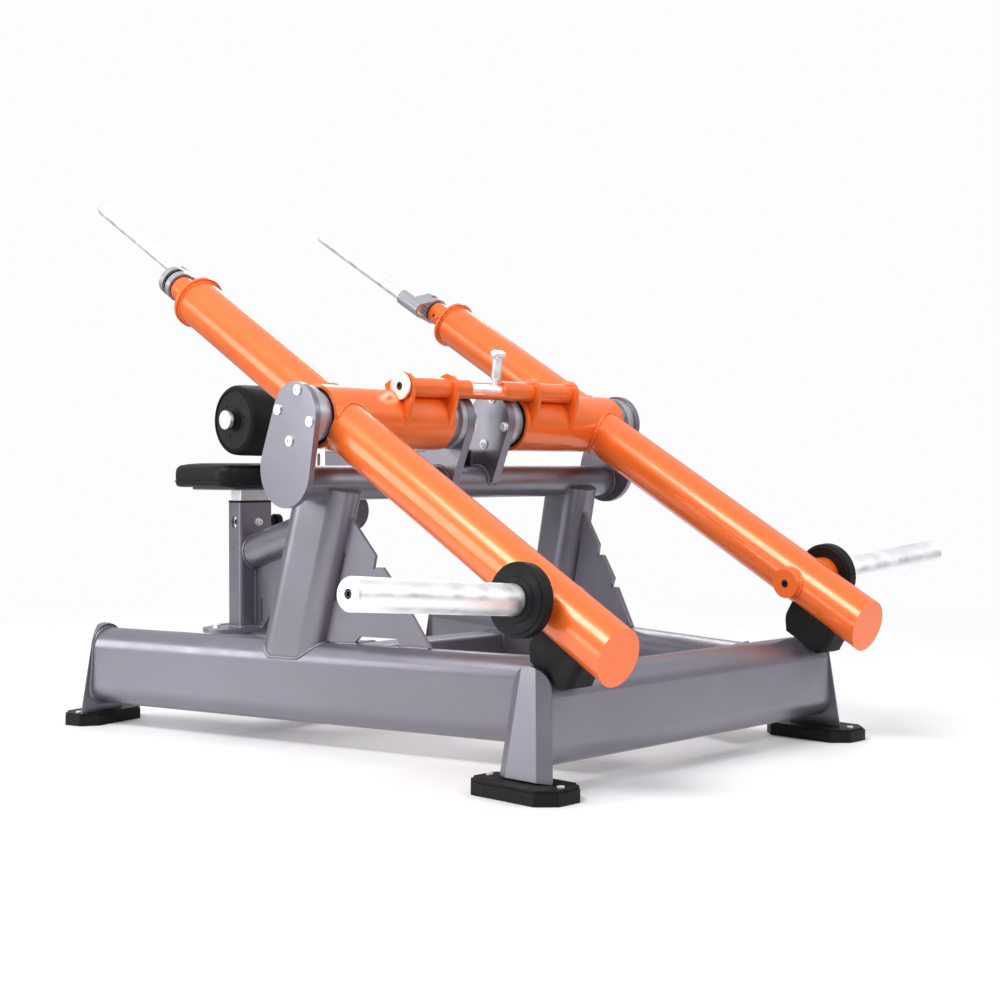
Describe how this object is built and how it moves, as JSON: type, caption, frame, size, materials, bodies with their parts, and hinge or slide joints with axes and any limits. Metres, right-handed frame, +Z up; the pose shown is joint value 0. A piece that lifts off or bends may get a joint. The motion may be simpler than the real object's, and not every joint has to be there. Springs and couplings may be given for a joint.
{
  "type": "seated dip machine",
  "caption": "Plate-loaded seated dip machine: swinging lever arms with weight horns and handles on a pivot frame, thigh roller and height-adjusted seat.",
  "frame": {"origin": "on the floor, at the middle of the object's overall box in X and Y", "axes": "+Z up; -Y towards the weight-horn end, +Y towards the seat; +X to the right of someone who sits facing the weight horns"},
  "size_m": [1.5622, 1.5183, 1.0793],
  "materials": {
    "frame_paint": "silver-grey metallic powder coat, satin",
    "arm_paint": "orange powder coat, satin gloss",
    "hub_steel": "light silver-grey paint, satin",
    "shaft_steel": "ground steel",
    "bolt_steel": "bright zinc-plated steel",
    "black_steel": "black oxide",
    "chrome": "polished chrome plate",
    "rubber": "moulded black rubber, matte",
    "foam": "closed-cell foam with a satin skin",
    "upholstery": "black synthetic leather over foam",
    "black_plastic": "black moulded plastic",
    "disc_plastic": "charcoal moulded plastic"
  },
  "bodies": {
    "base": {"left_rail": "frame_paint", "right_rail": "frame_paint", "front_beam": "frame_paint", "foot_plates": "frame_paint", "rubber_feet": "rubber", "foot_screws": "bolt_steel", "crossmember": "frame_paint", "spine_beam": "frame_paint", "left_upright": "frame_paint", "right_upright": "frame_paint", "gusset_plates": "frame_paint", "crossbar": "frame_paint", "outer_bearing_plates": "frame_paint", "center_bearing_plates": "frame_paint", "hub_flanges": "hub_steel", "plate_bolts": "bolt_steel", "pivot_shaft": "shaft_steel", "seat_base_plate": "frame_paint", "seat_post": "frame_paint", "seat_strut": "frame_paint", "strut_gusset": "frame_paint", "roller_bracket": "frame_paint", "roller_sleeve": "frame_paint", "post_trims": "black_plastic", "post_screws": "bolt_steel"},
    "seat": {"seat_tube": "chrome", "seat_plate": "frame_paint", "seat_cushion": "upholstery"},
    "seat_pull_pin": {"seat_pin": "black_plastic"},
    "roller_carrier": {"roller_slide": "chrome", "roller_axle": "chrome"},
    "left_roller": {"left_roller_core": "disc_plastic", "left_roller_foam": "foam"},
    "right_roller": {"right_roller_core": "disc_plastic", "right_roller_foam": "foam"},
    "left_lever": {"left_arm": "arm_paint", "left_bearings": "black_plastic", "left_horn": "chrome", "left_horn_cap": "chrome", "left_horn_collar": "rubber", "left_bumper": "rubber", "left_arm_screws": "black_steel", "left_handle_bush": "black_plastic", "left_lock_barrel": "arm_paint", "lock_cap": "chrome"},
    "right_lever": {"right_arm": "arm_paint", "right_bearings": "black_plastic", "right_horn": "chrome", "right_horn_cap": "chrome", "right_horn_collar": "rubber", "right_bumper": "rubber", "right_arm_screws": "black_steel", "right_handle_bush": "black_plastic", "right_lock_barrel": "arm_paint"},
    "left_handle": {"left_swivel": "hub_steel", "left_grip": "chrome"},
    "right_handle": {"right_swivel": "hub_steel", "right_grip": "chrome"},
    "lock": {"lock_pin": "bolt_steel", "lock_knob": "chrome"}
  },
  "joints": [
    {"name": "left_lever_swing", "type": "hinge", "parent": "base", "child": "left_lever", "pos_m": [-0.2425, -0.078, 0.6], "axis": [-1, 0, 0], "range_deg": [0, 50]},
    {"name": "right_lever_swing", "type": "hinge", "parent": "base", "child": "right_lever", "pos_m": [0.2425, -0.078, 0.6], "axis": [-1, 0, 0], "range_deg": [0, 50]},
    {"name": "lock_slide", "type": "slide", "parent": "left_lever", "child": "lock", "axis": [1, 0, 0], "range_m": [-0.052, 0]},
    {"name": "left_handle_swivel", "type": "hinge", "parent": "left_lever", "child": "left_handle", "pos_m": [-0.347, -0.078, 0.6], "axis": [0, 0.8704, 0.4924], "range_deg": [0, 180]},
    {"name": "right_handle_swivel", "type": "hinge", "parent": "right_lever", "child": "right_handle", "pos_m": [0.347, -0.078, 0.6], "axis": [0, -0.8704, -0.4924], "range_deg": [0, 180]},
    {"name": "seat_height", "type": "slide", "parent": "base", "child": "seat", "axis": [0, 0, 1], "range_m": [0, 0.05]},
    {"name": "seat_pin_slide", "type": "slide", "parent": "base", "child": "seat_pull_pin", "axis": [1, 0, 0], "range_m": [-0.008, 0]},
    {"name": "roller_height", "type": "slide", "parent": "seat", "child": "roller_carrier", "axis": [0, 0, 1], "range_m": [0, 0.05]},
    {"name": "left_roller_spin", "type": "hinge", "parent": "roller_carrier", "child": "left_roller", "pos_m": [-0.065, 0.541, 0.612], "axis": [1, 0, 0], "continuous": true},
    {"name": "right_roller_spin", "type": "hinge", "parent": "roller_carrier", "child": "right_roller", "pos_m": [0.065, 0.541, 0.612], "axis": [1, 0, 0], "continuous": true}
  ],
  "couplings": [
    {"joint": "right_lever_swing", "follows": "left_lever_swing", "ratio": 1}
  ]
}
